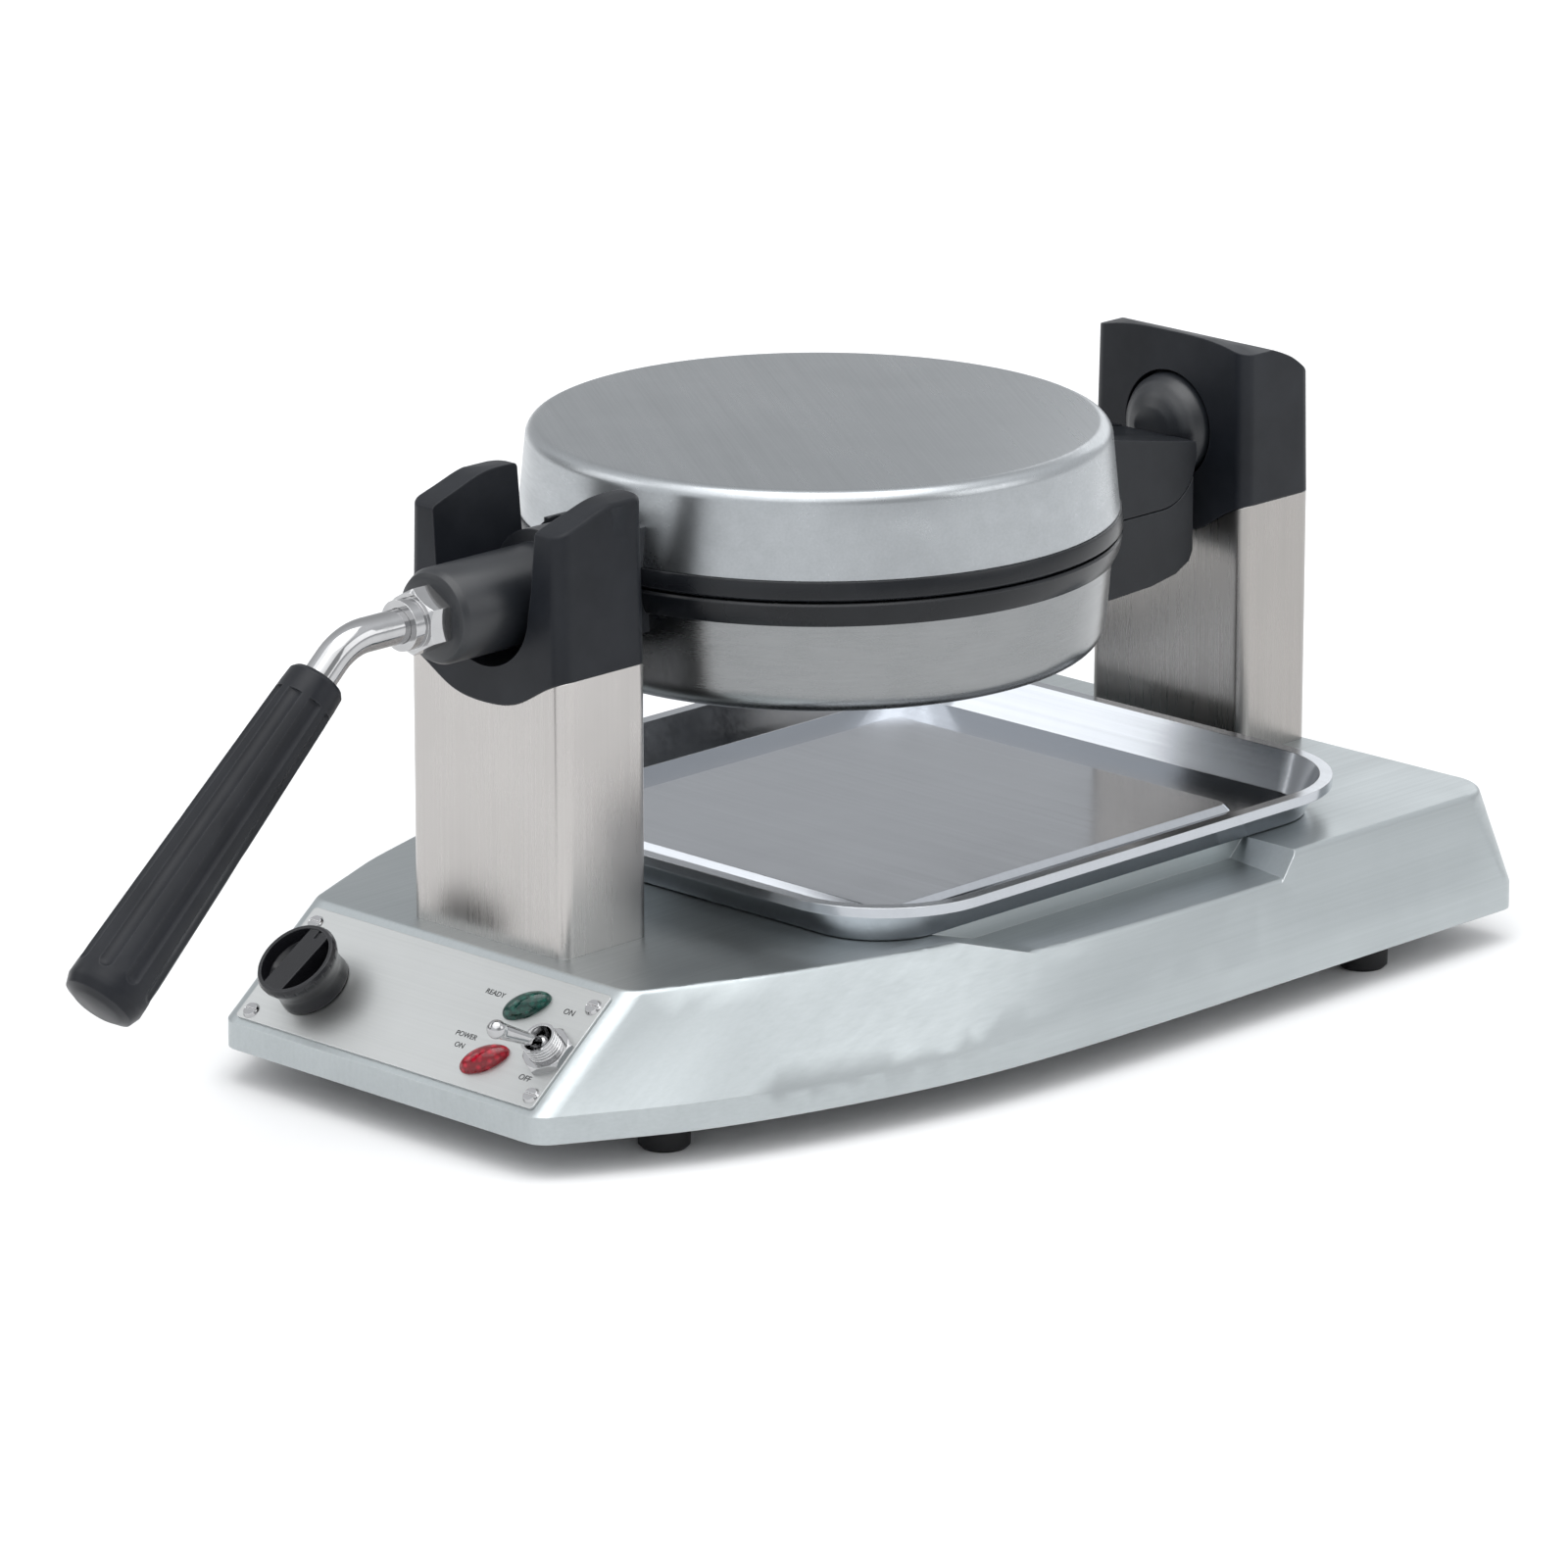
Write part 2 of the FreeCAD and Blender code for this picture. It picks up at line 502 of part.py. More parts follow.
def grid(sign):
    # waffle grid lining the plate: square pegs and two dividing ribs
    z0 = sign * 12.2
    z1 = sign * 4.0
    solid = revolve([(0, sign * 12.5), (84.0, sign * 12.5), (84.0, sign * 11.9), (0, sign * 11.9)])
    lumps = []
    pitch = 19.0
    for i in range(-5, 5):
        for j in range(-5, 5):
            px = (i + 0.5) * pitch
            py = (j + 0.5) * pitch
            if math.hypot(abs(px) + 6, abs(py) + 6) < 82.5:
                lumps.append(Part.makeLoft([square(px, py, 5.6, z0), square(px, py, 4.2, z1)], True, True))
    for angle in (0, 90):
        rib = profile_y([(-1.9, z0), (1.9, z0), (1.1, z1), (-1.1, z1)], -82.5, 82.5)
        rib.rotate(V(0, 0, 0), V(0, 0, 1), angle)
        lumps.append(rib)
    solid = solid.fuse(lumps).removeSplitter()
    solid.translate(V(0, 0, SEAM_Z))
    return solid


def element(sign):
    ring_path = Part.makeTorus(60.0, 3.25, V(0, 0, sign * 21.0), V(0, 0, 1), 0, 360, 320)
    ring_path.rotate(V(0, 0, 0), V(0, 0, 1), 110)
    ends = []
    for a in TERMINALS:
        ca = math.cos(math.radians(a))
        sa = math.sin(math.radians(a))
        ends.append(Part.makeSphere(3.25, V(60 * ca, 60 * sa, sign * 21.0)))
        ends.append(cyl(2.2, (60 * ca, 60 * sa, sign * 21.0), (ca, sa, 0), 18.0))
    out = ring_path.fuse(ends).removeSplitter()
    out.translate(V(0, 0, SEAM_Z))
    return out


parts["upper_plate"] = plate(1)
parts["lower_plate"] = plate(-1)
parts["upper_grid"] = grid(1)
parts["lower_grid"] = grid(-1)
parts["upper_element"] = element(1)
parts["lower_element"] = element(-1)
reflector = [(0, 27.6), (80, 27.6), (86, 24.4), (86.6, 25.0), (80.4, 28.4), (0, 28.4)]
parts["upper_reflector"] = revolve(at_seam(reflector))
parts["lower_reflector"] = revolve(at_seam([(r, -z) for r, z in reflector]))
cut_out = cyl(11.0, (0, 38, SEAM_Z - 25.6), (0, 0, 1), 5.0).fuse(cyl(3.0, (0, 38, SEAM_Z - 27.0), (0, 0, 1), 2.0))
parts["thermal_cutout"] = cut_out.removeSplitter()

# envelopes that the arms are trimmed to
lid_hull = revolve(at_seam([(0, 0.0), (RING_R, 0.0), (RING_R, 6.85)] + top_out))
low_rim = [(0, 0.0), (RING_R, 0.0), (RING_R, -SEAM - 0.7), (RING_R - 0.9, -5.6), (RING_R - 2.2, -8.35)]
low_hull = revolve(at_seam(low_rim + low_out))

# ---------------------------------------------------------------- hinge end
def about_pin(dy, dz):
    return (PIN_Y + dy, PIN_Z + dz)


def about_pin_arc(r, a0, a1, n):
    out = []
    for i in range(n + 1):
        a = math.radians(a0 + (a1 - a0) * i / n)
        out.append(about_pin(r * math.cos(a), r * math.sin(a)))
    return out


# lid side: two cheeks joined by a bridge, round below the pin
cheek_line = [about_pin(-58, 27.5), about_pin(-40, 17.8), about_pin(-23.3, 11.4)]
cheek_line += about_pin_arc(16.86, 13.4, -90.0, 12) + about_pin_arc(44.4, 202.3, 183.0, 4)
cheek_line += [about_pin(-44.4, 4.3), about_pin(-58, 4.6)]
cheek = profile_x(cheek_line, CHEEK_IN, ARM_HALF)
cheek_left = cheek.mirror(V(0, 0, 0), V(1, 0, 0))
bridge_line = [about_pin(-58, 4.6), about_pin(-31, 5.2), about_pin(-31, 14.0)]
bridge_line += [about_pin(-40, 17.8), about_pin(-58, 27.5)]
bridge = profile_x(bridge_line, -CHEEK_IN - 0.1, CHEEK_IN + 0.1)
arm = cheek.fuse([cheek_left, bridge]).cut(lid_hull)
arm = arm.cut(cyl(PIN_R, (-20.0, PIN_Y, PIN_Z), (1, 0, 0), 40.0)).removeSplitter()
parts["lid_hinge_arm"] = arm
parts["hinge_pin"] = cyl(PIN_R, (-20.0, PIN_Y, PIN_Z), (1, 0, 0), 40.0)

# lower side: wide block cradling the cheeks, narrow web between them
wide_line = [about_pin(-58, -17.3)] + about_pin_arc(17.3, -90.0, -28.0, 8)
wide_line += [about_pin(15.3, -34.0), about_pin(13.6, -37.4), about_pin(7.0, -40.8), about_pin(-5.5, -42.9)]
wide_line += [about_pin(-24.0, -43.7), about_pin(-58, -43.7)]
wide = profile_x(wide_line, -ARM_HALF, ARM_HALF)
web_line = [about_pin(-58, -17.0), about_pin(-48.0, -5.4), about_pin(-33.0, -1.9), about_pin(-25.5, 11.0)]
web_line += [about_pin(17.6, 3.2), about_pin(17.6, -10.0), about_pin(15.3, -20.0), about_pin(-58, -20.0)]
web = profile_x(web_line, -WEB_HALF, WEB_HALF)
carrier = wide.fuse(web).cut(low_hull)
carrier = carrier.cut(cyl(PIN_R + 0.05, (-30.0, PIN_Y, PIN_Z), (1, 0, 0), 60.0))
spigot = cyl(TRUNNION_R - 3.0, (0, PIN_Y + 9.0, AXIS_Z), (0, 1, 0), 12.0)
spigot = spigot.common(box(-20, PIN_Y, AXIS_Z - 20, 20, PIN_Y + 30, AXIS_Z - 3.6))
carrier = carrier.cut(spigot).removeSplitter()
parts["hinge_carrier"] = carrier
# trunnion: spigot in the carrier, domed shoulder in the cap's mouth, hollow journal
dome = revolve([(0, 0), (7.0, 0.0), (12.0, 2.0), (15.6, 4.8), (17.6, 7.8), (18.2, 10.6), (18.2, 13.0), (0, 13.0)])
dome.rotate(V(0, 0, 0), V(1, 0, 0), -90)
dome.translate(V(0, PIN_Y + 17.7, AXIS_Z))
TRUNNION_END = PIN_Y + 56.0
shaft = cyl(TRUNNION_R, (0, PIN_Y + 24.0, AXIS_Z), (0, 1, 0), 32.0).fuse(dome)
shaft = shaft.fuse(spigot)
shaft = shaft.cut(cyl(4.0, (0, PIN_Y + 22.0, AXIS_Z), (0, 1, 0), 60.0)).removeSplitter()
parts["rear_trunnion"] = shaft
collar_y = BUSH_Y + 12.3
collar = cyl(14.6, (0, collar_y, AXIS_Z), (0, 1, 0), TRUNNION_END - collar_y)
parts["trunnion_collar"] = collar.cut(cyl(TRUNNION_R, (0, collar_y - 1, AXIS_Z), (0, 1, 0), 20))

# ---------------------------------------------------------------- handle end
FLANGE_Y = cap_back + 0.5
HUB_LEN = 47.0
hub_edge = [(0, 0), (HUB_R - 3.4, 0), (HUB_R - 1.3, 0.9), (HUB_R, 3.4), (HUB_R, HUB_LEN), (0, HUB_LEN)]
hub = revolve(hub_edge)
hub.rotate(V(0, 0, 0), V(1, 0, 0), -90)
NOSE_Y = SEAT_Y - HUB_LEN
hub.translate(V(0, NOSE_Y, AXIS_Z))


def half(sign):
    d = cyl(JOURNAL_R, (0, SEAT_Y, AXIS_Z), (0, 1, 0), FLANGE_Y - SEAT_Y)
    d = d.fuse(cyl(21.5, (0, FLANGE_Y, AXIS_Z), (0, 1, 0), 3.4))
    neck = box(-16, FLANGE_Y + 3.0, AXIS_Z - 17.5, 16, -90, AXIS_Z + 17.5)
    d = d.fuse(neck)
    z0 = AXIS_Z + 0.3 if sign > 0 else AXIS_Z - 40
    z1 = AXIS_Z + 40 if sign > 0 else AXIS_Z - 0.3
    return d.common(box(-40, -160, z0, 40, 0, z1))


upper_half = half(1).fuse(hub).cut(lid_hull)
upper_half = upper_half.cut(cyl(5.7, (0, NOSE_Y - 1, AXIS_Z), (0, 1, 0), 26.0)).removeSplitter()
parts["front_hub"] = upper_half
rest = half(-1).cut(low_hull).cut(cyl(RING_R + 0.5, (0, 0, SEAM_Z - 0.3), (0, 0, 1), 10.0))
rest = rest.cut(box(-40, -200, 0, 40, SEAT_Y + 0.4, 300)).removeSplitter()
parts["front_rest"] = rest

nut = hexagon(19.0, 8.5, 0.0, 5.75)
nut = nut.fuse(Part.makeCylinder(8.3, 5.0, V(0, 0, 8.5)).cut(Part.makeCylinder(5.75, 8, V(0, 0, 7)))).removeSplitter()
nut.rotate(V(0, 0, 0), V(1, 0, 0), 90)
nut.translate(V(0, NOSE_Y, AXIS_Z))
parts["handle_nut"] = nut
corner_y = NOSE_Y - 36.5
bend_r = 22.0
lead = bend_r * math.tan(math.radians(GRIP_ANGLE / 2))
ca = math.cos(math.radians(GRIP_ANGLE))
sa = math.sin(math.radians(GRIP_ANGLE))
p0 = V(0, NOSE_Y + 24.0, AXIS_Z)
p1 = V(0, corner_y + lead, AXIS_Z)
p3 = V(0, corner_y - lead * ca, AXIS_Z - lead * sa)
p4 = V(0, corner_y - 36.5 * ca, AXIS_Z - 36.5 * sa)
mid_a = math.radians(GRIP_ANGLE / 2)
p2 = V(0, p1.y - bend_r * math.sin(mid_a), AXIS_Z - bend_r * (1 - math.cos(mid_a)))
path = Part.Wire([Part.makeLine(p0, p1), Part.Arc(p1, p2, p3).toShape(), Part.makeLine(p3, p4)])
disc = Part.Wire(Part.makeCircle(5.65, p0, V(0, 1, 0)))
parts["handle_tube"] = path.makePipeShell([disc], True, False)

# moulded grip: tapered, wider at the free end, eight shallow flutes
GRIP_START = 16.0
GRIP_LEN = 127.5
grip_out = [(0, 0), (8.6, 0), (9.6, 1.3), (9.9, 6.0), (13.0, GRIP_LEN - 10), (13.1, GRIP_LEN - 5.0)]
grip_out += [(11.8, GRIP_LEN - 1.5), (8.2, GRIP_LEN), (0, GRIP_LEN)]
grip = revolve(grip_out)
for i in range(8):
    a = math.radians(45 * i + 22.5)
    lo = V(13.5 * math.cos(a), 13.5 * math.sin(a), 9.0)
    hi = V(16.6 * math.cos(a), 16.6 * math.sin(a), GRIP_LEN - 12.0)
    flute = Part.makeCylinder(4.6, (hi - lo).Length, lo, hi - lo)
    tip = Part.makeSphere(4.6, lo)
    toe = Part.makeSphere(4.6, hi)
    grip = grip.cut(flute).cut(tip).cut(toe)
grip = grip.cut(Part.makeCylinder(5.65, 22.0, V(0, 0, -1)))
grip.rotate(V(0, 0, 0), V(1, 0, 0), 90 + GRIP_ANGLE)
grip.translate(V(0, corner_y - GRIP_START * ca, AXIS_Z - GRIP_START * sa))
parts["handle_grip"] = grip.removeSplitter()

# ---------------------------------------------------------------- drip tray
TRAY_Z = TOP_Z + 0.3
w = TRAY_HALF_W
f = TRAY_FRONT_Y
b = TRAY_REAR_Y
low_w = rounded_rect(-w + 12, f + 10, w - 12, b - 10, TRAY_CORNER - 16, TRAY_Z)
high_w = rounded_rect(-w + 3.4, f + 3.4, w - 3.4, b - 3.4, TRAY_CORNER - 3.4, TRAY_TOP_Z - 0.9)
low_i = rounded_rect(-w + 13.2, f + 11.2, w - 13.2, b - 11.2, TRAY_CORNER - 17.2, TRAY_Z + 0.9)
high_i = rounded_rect(-w + 4.3, f + 4.3, w - 4.3, b - 4.3, TRAY_CORNER - 4.3, TRAY_TOP_Z)
dish = Part.makeLoft([low_w, high_w], True, True)
flange = rect_prism(-w, f, w, b, TRAY_CORNER, TRAY_TOP_Z - 0.9, TRAY_TOP_Z)
turned = rect_prism(-w, f, w, b, TRAY_CORNER, TRAY_TOP_Z - 3.4, TRAY_TOP_Z - 0.4)
turned = turned.cut(rect_prism(-w + 0.9, f + 0.9, w - 0.9, b - 0.9, TRAY_CORNER - 0.9, TRAY_TOP_Z - 5, TRAY_TOP_Z))
tray = dish.fuse([flange, turned])
tray = tray.cut(Part.makeLoft([low_i, high_i], True, True))
hat_low = rounded_rect(-79, f + 33, 79, b - 36, 5, TRAY_Z)
hat_top = rounded_rect(-76.4, f + 35.6, 76.4, b - 38.6, 3.5, TRAY_Z + 3.0)
hole_low = rounded_rect(-78.1, f + 33.9, 78.1, b - 36.9, 4.1, TRAY_Z - 0.9)
hole_top = rounded_rect(-75.5, f + 36.5, 75.5, b - 39.5, 2.6, TRAY_Z + 2.1)
tray = tray.fuse(Part.makeLoft([hat_low, hat_top], True, True))
tray = tray.cut(Part.makeLoft([hole_low, hole_top], True, True)).removeSplitter()
parts["drip_tray"] = tray

# ---------------------------------------------------------------- export
os.makedirs("parts", exist_ok=True)
for name, shape in sorted(parts.items()):
    shape = shape.copy()
    shape.translate(V(0, FRAME_Y, 0))
    shape.exportStep("parts/%s.step" % name)
    bb = shape.BoundBox
    ok = "ok" if shape.isValid() else "INVALID"
    span = (bb.XMin, bb.XMax, bb.YMin, bb.YMax, bb.ZMin, bb.ZMax)
    print("%-20s %s solids=%d vol=%.0f" % (name, ok, len(shape.Solids), shape.Volume))
    print("    x %.1f..%.1f y %.1f..%.1f z %.1f..%.1f" % span)
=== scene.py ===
import math
import bpy
from mathutils import Matrix, Vector


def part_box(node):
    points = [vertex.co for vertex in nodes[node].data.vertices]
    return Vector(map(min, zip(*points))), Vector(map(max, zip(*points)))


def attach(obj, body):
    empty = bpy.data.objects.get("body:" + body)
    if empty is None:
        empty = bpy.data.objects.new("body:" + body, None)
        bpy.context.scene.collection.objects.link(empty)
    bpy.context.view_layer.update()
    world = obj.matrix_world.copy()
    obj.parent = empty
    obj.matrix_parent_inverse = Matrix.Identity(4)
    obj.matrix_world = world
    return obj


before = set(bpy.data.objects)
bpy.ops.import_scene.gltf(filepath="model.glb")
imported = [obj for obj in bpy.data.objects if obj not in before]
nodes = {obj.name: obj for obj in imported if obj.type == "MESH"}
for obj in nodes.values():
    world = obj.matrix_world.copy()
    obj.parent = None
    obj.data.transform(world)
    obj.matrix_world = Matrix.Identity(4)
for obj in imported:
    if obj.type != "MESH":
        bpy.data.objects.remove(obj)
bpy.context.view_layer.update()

scene = bpy.context.scene

# the drum's upright centre line, taken from the round lid shell
lid_low, lid_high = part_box("lid_shell")
DRUM_Y = (lid_low.y + lid_high.y) / 2


# ------------------------------------------------------------------ node graphs
class Graph:
    """A small builder for one material or world node tree."""

    def __init__(self, owner):
        owner.use_nodes = True
        self.tree = owner.node_tree
        self.tree.nodes.clear()

    def add(self, kind, values=None, **props):
        node = self.tree.nodes.new(kind)
        for key, value in props.items():
            setattr(node, key, value)
        for key, value in (values or {}).items():
            self.put(node.inputs[key], value)
        return node

    def put(self, socket, value):
        if isinstance(value, bpy.types.NodeSocket):
            self.tree.links.new(value, socket)
        else:
            socket.default_value = value

    def math(self, operation, first, second=0.0):
        node = self.add("ShaderNodeMath", {0: first, 1: second}, operation=operation)
        return node.outputs[0]

    def vector(self, operation, first, second):
        node = self.add("ShaderNodeVectorMath", {0: first, 1: second}, operation=operation)
        return node.outputs["Value"] if operation == "DOT_PRODUCT" else node.outputs["Vector"]

    def ramp(self, value, low, high, out_low=0.0, out_high=1.0):
        limits = {"From Min": low, "From Max": high, "To Min": out_low, "To Max": out_high}
        return self.add("ShaderNodeMapRange", {"Value": value, **limits}).outputs["Result"]

    def mix(self, factor, first, second):
        node = self.add("ShaderNodeMix", {"Factor": factor}, data_type="RGBA")
        for key, value in (("A", first), ("B", second)):
            self.put([s for s in node.inputs if s.name == key and s.type == "RGBA"][0], value)
        return [s for s in node.outputs if s.type == "RGBA"][0]

    def noise(self, vector, scale, detail=2.0, rough=0.5):
        values = {"Vector": vector, "Scale": scale, "Detail": detail, "Roughness": rough}
        return self.add("ShaderNodeTexNoise", values).outputs["Fac"]

    def object_space(self):
        return self.add("ShaderNodeTexCoord").outputs["Object"]

    def edge_normal(self, radius):
        return self.add("ShaderNodeBevel", {"Radius": radius}, samples=4).outputs["Normal"]

    def edge_polish_and_highlight_mask(self, radius):
        """0 on open faces, towards 1 on convex and concave edges; the materials lighten the colour there as a
        painted edge highlight and make the edge smoother.
        """
        bevelled = self.edge_normal(radius)
        true_normal = self.add("ShaderNodeNewGeometry").outputs["True Normal"]
        return self.ramp(self.vector("DOT_PRODUCT", bevelled, true_normal), 1.0, 0.75)

    def bump(self, height, strength, distance, edge=None):
        values = {"Strength": strength, "Distance": distance, "Height": height}
        if edge is not None:
            values["Normal"] = self.edge_normal(edge)
        return self.add("ShaderNodeBump", values).outputs[0]


def rgba(color, factor=1.0, lift=0.0):
    return tuple(min(c * factor + lift, 1.0) for c in color) + (1.0,)


def surface(name):
    material = bpy.data.materials.new(name)
    graph = Graph(material)
    shader = graph.add("ShaderNodeBsdfPrincipled")
    graph.add("ShaderNodeOutputMaterial", {"Surface": shader.outputs[0]})
    return material, graph, shader


def finish_shader(graph, shader, **values):
    for key, value in values.items():
        graph.put(shader.inputs[key.replace("_", " ")], value)


# ------------------------------------------------------------------ materials
def brushed(name, color, grain, rough, stretch, depth=0.12, aniso=0.35, across=(0.0, 0.0, 1.0), turn=0.0,
            round_drum=False, edge=0.0004):
    """Brushed metal sheet. grain is the swing in tone, stretch the noise scale along each axis."""
    material, graph, shader = surface(name)
    point = graph.object_space()
    if round_drum:
        # the lines run round the drum's centre line
        offset = graph.vector("SUBTRACT", point, (0.0, DRUM_Y, 0.0))
        part = graph.add("ShaderNodeSeparateXYZ", {"Vector": offset})
        angle = graph.math("ARCTAN2", part.outputs[1], part.outputs[0])
        along = graph.math("MULTIPLY", angle, stretch[0])
        height = graph.math("MULTIPLY", part.outputs[2], stretch[2])
        lines = graph.add("ShaderNodeCombineXYZ", {"X": along, "Y": height}).outputs[0]
    else:
        turned = graph.add("ShaderNodeMapping", {"Vector": point, "Rotation": (0.0, 0.0, turn)}).outputs[0]
        lines = graph.vector("MULTIPLY", turned, stretch)
    tangent = graph.add("ShaderNodeCombineXYZ", {"X": across[0], "Y": across[1], "Z": across[2]}).outputs[0]
    fine = graph.noise(lines, 1.0, 3.0, 0.6)
    broad = graph.noise(graph.vector("MULTIPLY", lines, (0.6, 0.13, 0.13)), 1.0)
    cloud = graph.noise(point, 26.0, 3.0, 0.55)
    tone = graph.math("ADD", graph.math("MULTIPLY", fine, 0.6), graph.math("MULTIPLY", broad, 0.4))
    tone = graph.math("ADD", tone, graph.ramp(cloud, 0.3, 0.7, -0.12, 0.12))
    steel = graph.mix(graph.ramp(tone, 0.25, 0.75), rgba(color, 1.0 - grain), rgba(color, 1.0 + grain * 0.7))
    # the edges are painted lighter, towards pale grey, as a painted highlight, and made a little smoother
    edge_polish_and_highlight = graph.edge_polish_and_highlight_mask(edge * 1.6)
    roughness = graph.ramp(tone, 0.2, 0.8, rough + 0.07, rough - 0.05)
    finish_shader(graph, shader,
                  Base_Color=graph.mix(graph.math("MULTIPLY", edge_polish_and_highlight, 0.35), steel, rgba((0.9, 0.9, 0.9))),
                  Metallic=1.0,
                  Roughness=graph.math("SUBTRACT", roughness, graph.math("MULTIPLY", edge_polish_and_highlight, 0.08)),
                  Anisotropic=aniso,
                  Tangent=tangent,
                  Normal=graph.bump(fine, depth, 0.00012, edge))
    return material


def plastic(name, color, rough, sheen, grain=2600.0, depth=0.25, edge=0.0006):
    """Moulded black plastic with a fine spark texture and smoother edges, painted lighter grey as a painted
    edge highlight.
    """
    material, graph, shader = surface(name)
    point = graph.object_space()
    spark = graph.noise(point, grain, 2.0, 0.6)
    cloud = graph.noise(point, 38.0, 4.0, 0.6)
    smear = graph.noise(graph.vector("MULTIPLY", point, (60.0, 18.0, 24.0)), 1.0, 3.0, 0.6)
    edge_polish_and_highlight = graph.edge_polish_and_highlight_mask(edge * 1.5)
    body = graph.mix(graph.ramp(cloud, 0.3, 0.7), rgba(color, 0.82), rgba(color, 1.25, 0.004))
    roughness = graph.ramp(smear, 0.3, 0.7, rough - 0.04, rough + 0.08)
    finish_shader(graph, shader,
                  # edges painted lighter grey: a painted highlight
                  Base_Color=graph.mix(graph.math("MULTIPLY", edge_polish_and_highlight, 0.30), body, rgba((0.11, 0.115, 0.125))),
                  Roughness=graph.math("ADD", roughness, graph.math("MULTIPLY", edge_polish_and_highlight, -0.08)),
                  Specular_IOR_Level=sheen,
                  Normal=graph.bump(spark, depth, 0.00006, edge))
    return material


def polished(name, color, rough, edge=0.0003):
    """Plated or ground metal with finger smudges and fine scratches."""
    material, graph, shader = surface(name)
    point = graph.object_space()
    smudge = graph.noise(point, 120.0, 4.0, 0.6)
    scratch = graph.noise(graph.vector("MULTIPLY", point, (900.0, 90.0, 900.0)), 1.0, 2.0, 0.6)
    # the edges are painted almost white as a painted highlight, and made a little smoother
    edge_polish_and_highlight = graph.edge_polish_and_highlight_mask(edge * 1.5)
    metal = graph.mix(graph.ramp(smudge, 0.35, 0.75), rgba(color), rgba(color, 0.9))
    smudged = graph.ramp(smudge, 0.35, 0.7, rough, rough + 0.06)
    scratched = graph.ramp(scratch, 0.62, 0.75, 0.0, 0.08)
    finish_shader(graph, shader,
                  Base_Color=graph.mix(graph.math("MULTIPLY", edge_polish_and_highlight, 0.4), metal, rgba((0.97, 0.97, 0.97))),
                  Metallic=1.0,
                  Roughness=graph.math("ADD", smudged, scratched),
                  Normal=graph.bump(smudge, 0.05, 0.0001, edge))
    return material


def lens(name, color, deep):
    """Jewel lens of a lamp: coloured plastic with small facets and a darker heart."""
    material, graph, shader = surface(name)
    point = graph.object_space()
    cells = graph.add("ShaderNodeTexVoronoi", {"Vector": point, "Scale": 520.0}).outputs["Distance"]
    spots = graph.noise(point, 300.0)
    finish_shader(graph, shader,
                  Base_Color=graph.mix(graph.ramp(cells, 0.1, 0.6), rgba(color), rgba(deep)),
                  Roughness=graph.ramp(spots, 0.3, 0.7, 0.05, 0.12),
                  Transmission_Weight=0.35,
                  IOR=1.49,
                  Specular_IOR_Level=0.35,
                  Coat_Weight=0.3,
                  Coat_Roughness=0.04,
                  Normal=graph.bump(cells, 0.18, 0.0005))
    return material


materials = {
    "base": brushed("stainless_base", (0.45, 0.483, 0.492), 0.065, 0.36, (1000.0, 10.0, 1000.0),
                    depth=0.05, aniso=0.3, across=(1.0, 0.0, 0.0)),
    "panel": brushed("stainless_panel", (0.54, 0.55, 0.545), 0.05, 0.42, (8.0, 1100.0, 1100.0),
                     depth=0.06, aniso=0.2, across=(0.0, 1.0, 0.0)),
    "post": brushed("stainless_post", (0.49, 0.47, 0.455), 0.03, 0.27, (1100.0, 1100.0, 8.0),
                    depth=0.02, aniso=0.4),
    # the rear sleeve is the same stainless as the front one, with its colour darkened as painted shade
    "post_rear_painted_shade": brushed("stainless_post_rear", (0.375, 0.358, 0.342), 0.035, 0.27, (1100.0, 1100.0, 8.0),
                         depth=0.02, aniso=0.4),
    "lid": brushed("stainless_lid", (0.43, 0.45, 0.465), 0.10, 0.29, (12.0, 1150.0, 1300.0),
                   depth=0.05, aniso=0.3, across=(0.57, 0.82, 0.0), turn=math.radians(35)),
    "drum": brushed("stainless_drum", (0.265, 0.272, 0.275), 0.06, 0.25, (9.0, 1.0, 1100.0),
                    depth=0.05, aniso=0.4, round_drum=True),
    "tray": brushed("stainless_tray", (0.48, 0.50, 0.53), 0.05, 0.16, (5.0, 700.0, 700.0),
                    depth=0.04, aniso=0.2),
    "zinc": brushed("zinc_plate", (0.45, 0.46, 0.47), 0.12, 0.38, (40.0, 60.0, 60.0), aniso=0.0),
    "black": plastic("black_moulding", (0.0065, 0.008, 0.0115), 0.40, 0.24),
    "grip": plastic("black_grip", (0.006, 0.007, 0.010), 0.34, 0.24, grain=1900.0),
    "knob": plastic("black_knob", (0.006, 0.006, 0.008), 0.20, 0.42, depth=0.08),
    "ring": plastic("black_rim", (0.005, 0.006, 0.008), 0.24, 0.30, depth=0.1),
    "arm": plastic("black_casting", (0.006, 0.0075, 0.0105), 0.36, 0.26, grain=1300.0, depth=0.4),
    "hub": plastic("black_hub", (0.008, 0.0095, 0.0125), 0.34, 0.6, grain=1300.0, depth=0.3),
    "coated": plastic("non_stick", (0.026, 0.027, 0.029), 0.36, 0.4, grain=1500.0, depth=0.3),
    "rubber": plastic("rubber_foot", (0.008, 0.008, 0.009), 0.6, 0.3, depth=0.35),
    "nylon": plastic("black_nylon", (0.014, 0.014, 0.016), 0.5, 0.35),
    "ink": plastic("panel_ink", (0.010, 0.010, 0.011), 0.55, 0.3, depth=0.1, edge=0.00005),
    "chrome": polished("chrome_plate", (0.47, 0.47, 0.475), 0.045),
    "ground": polished("ground_steel", (0.55, 0.55, 0.56), 0.22),
    "bronze": polished("sintered_bronze", (0.40, 0.29, 0.15), 0.36),
    "sheath": polished("element_sheath", (0.24, 0.22, 0.20), 0.42),
    "green": lens("lens_green", (0.003, 0.12, 0.085), (0.001, 0.040, 0.030)),
    "red": lens("lens_red", (0.62, 0.004, 0.030), (0.24, 0.001, 0.010)),
}

